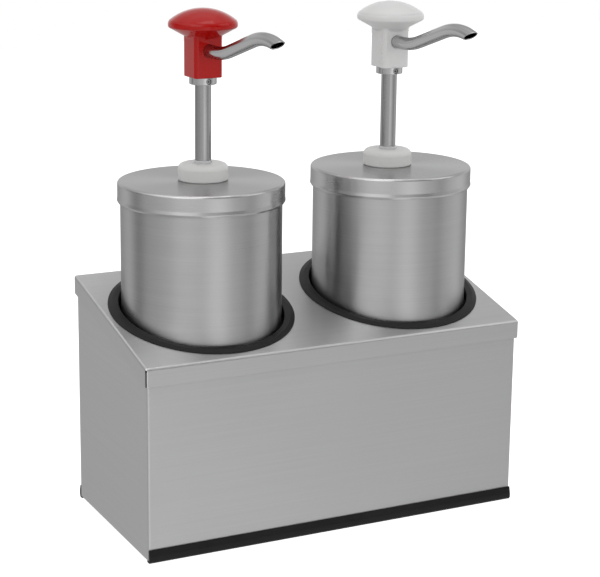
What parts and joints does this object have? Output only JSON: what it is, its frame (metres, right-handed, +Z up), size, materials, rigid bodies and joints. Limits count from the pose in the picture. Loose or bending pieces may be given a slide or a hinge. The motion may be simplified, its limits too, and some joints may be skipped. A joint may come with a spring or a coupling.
{
  "type": "topping warmer",
  "caption": "Counter-top topping warmer: sloped steel housing with rubber-ringed wells, lidded jars and push-down mushroom-head pumps with bent spouts.",
  "frame": {"origin": "middle of the sole of the front foot strip, on the plane the warmer stands on", "axes": "+Z up, -Y out of the front, +X to the right seen from the front"},
  "size_m": [0.413, 0.2743, 0.5166],
  "materials": {
    "brushed_steel": "brushed stainless sheet",
    "satin_tube": "satin stainless tube and turned steel",
    "plated_screw": "bright plated screw",
    "black_rubber": "black moulded rubber",
    "seal_rubber": "food-grade seal rubber",
    "nylon": "natural white nylon",
    "red_plastic": "gloss red moulded plastic",
    "white_plastic": "gloss white moulded plastic",
    "black_plastic": "black moulded plastic",
    "heater_aluminium": "cast aluminium heater plate",
    "mineral_board": "pressed mineral insulation board",
    "spring_steel": "stainless spring wire"
  },
  "bodies": {
    "housing": {"outer_shell": "brushed_steel", "top_deck": "brushed_steel", "base_plate": "brushed_steel", "base_screws": "plated_screw", "front_foot_strip": "black_rubber", "rear_foot_strip": "black_rubber", "control_panel": "brushed_steel", "panel_screws": "plated_screw", "thermostat": "black_plastic", "rocker_switch": "black_plastic", "power_inlet": "black_plastic", "terminal_block": "white_plastic", "heater_nuts": "plated_screw", "left_well": "brushed_steel", "left_well_ring": "black_rubber", "left_heater": "heater_aluminium", "left_insulation": "mineral_board", "left_thermal_cutout": "black_plastic", "right_well": "brushed_steel", "right_well_ring": "black_rubber", "right_heater": "heater_aluminium", "right_insulation": "mineral_board", "right_thermal_cutout": "black_plastic"},
    "knob": {"thermostat_knob": "black_plastic", "thermostat_shaft": "satin_tube"},
    "rocker": {"rocker": "black_plastic"},
    "left_jar": {"left_jar": "brushed_steel"},
    "left_lid": {"left_jar_lid": "brushed_steel", "left_pump_collar": "nylon", "left_cylinder": "satin_tube", "left_foot_valve": "nylon", "left_return_spring": "spring_steel"},
    "left_intake_ball": {"left_intake_ball": "satin_tube"},
    "left_wiper": {"left_stem_wiper": "nylon"},
    "left_plunger": {"left_stem": "satin_tube", "left_piston": "nylon", "left_piston_seal": "seal_rubber", "left_stop_collar": "satin_tube", "left_set_screw": "plated_screw", "left_pump_head": "red_plastic", "left_spout": "satin_tube"},
    "left_discharge_ball": {"left_discharge_ball": "satin_tube"},
    "right_jar": {"right_jar": "brushed_steel"},
    "right_lid": {"right_jar_lid": "brushed_steel", "right_pump_collar": "nylon", "right_cylinder": "satin_tube", "right_foot_valve": "nylon", "right_return_spring": "spring_steel"},
    "right_intake_ball": {"right_intake_ball": "satin_tube"},
    "right_wiper": {"right_stem_wiper": "nylon"},
    "right_plunger": {"right_stem": "satin_tube", "right_piston": "nylon", "right_piston_seal": "seal_rubber", "right_stop_collar": "satin_tube", "right_set_screw": "plated_screw", "right_pump_head": "white_plastic", "right_spout": "satin_tube"},
    "right_discharge_ball": {"right_discharge_ball": "satin_tube"}
  },
  "joints": [
    {"name": "left_jar_lift", "type": "slide", "parent": "housing", "child": "left_jar", "axis": [0, 0, 1], "range_m": [0, 0.16]},
    {"name": "left_lid_lift", "type": "slide", "parent": "left_jar", "child": "left_lid", "axis": [0, 0, 1], "range_m": [0, 0.27]},
    {"name": "left_intake_ball_lift", "type": "slide", "parent": "left_lid", "child": "left_intake_ball", "axis": [0, 0, 1], "range_m": [0, 0.0025]},
    {"name": "left_pump_turn", "type": "hinge", "parent": "left_lid", "child": "left_wiper", "pos_m": [-0.1039, 0.09785, 0.3678], "axis": [0, 0, 1], "continuous": true},
    {"name": "left_pump_press", "type": "slide", "parent": "left_wiper", "child": "left_plunger", "axis": [0, 0, -1], "range_m": [0, 0.0748], "stiffness_N_per_m": 260, "springref_m": -0.055, "deforming": ["left_return_spring"]},
    {"name": "left_discharge_ball_lift", "type": "slide", "parent": "left_plunger", "child": "left_discharge_ball", "axis": [0, 0, 1], "range_m": [0, 0.0025]},
    {"name": "right_jar_lift", "type": "slide", "parent": "housing", "child": "right_jar", "axis": [0, 0, 1], "range_m": [0, 0.16]},
    {"name": "right_lid_lift", "type": "slide", "parent": "right_jar", "child": "right_lid", "axis": [0, 0, 1], "range_m": [0, 0.27]},
    {"name": "right_intake_ball_lift", "type": "slide", "parent": "right_lid", "child": "right_intake_ball", "axis": [0, 0, 1], "range_m": [0, 0.0025]},
    {"name": "right_pump_turn", "type": "hinge", "parent": "right_lid", "child": "right_wiper", "pos_m": [0.1039, 0.09785, 0.3678], "axis": [0, 0, 1], "continuous": true},
    {"name": "right_pump_press", "type": "slide", "parent": "right_wiper", "child": "right_plunger", "axis": [0, 0, -1], "range_m": [0, 0.0748], "stiffness_N_per_m": 260, "springref_m": -0.055, "deforming": ["right_return_spring"]},
    {"name": "right_discharge_ball_lift", "type": "slide", "parent": "right_plunger", "child": "right_discharge_ball", "axis": [0, 0, 1], "range_m": [0, 0.0025]},
    {"name": "knob_turn", "type": "hinge", "parent": "housing", "child": "knob", "pos_m": [0.044, 0.18995, 0.072], "axis": [0, -1, 0], "range_deg": [0, 270]},
    {"name": "rocker_tilt", "type": "hinge", "parent": "housing", "child": "rocker", "pos_m": [0, 0.18865, 0.072], "axis": [1, 0, 0], "range_deg": [0, 14]}
  ]
}
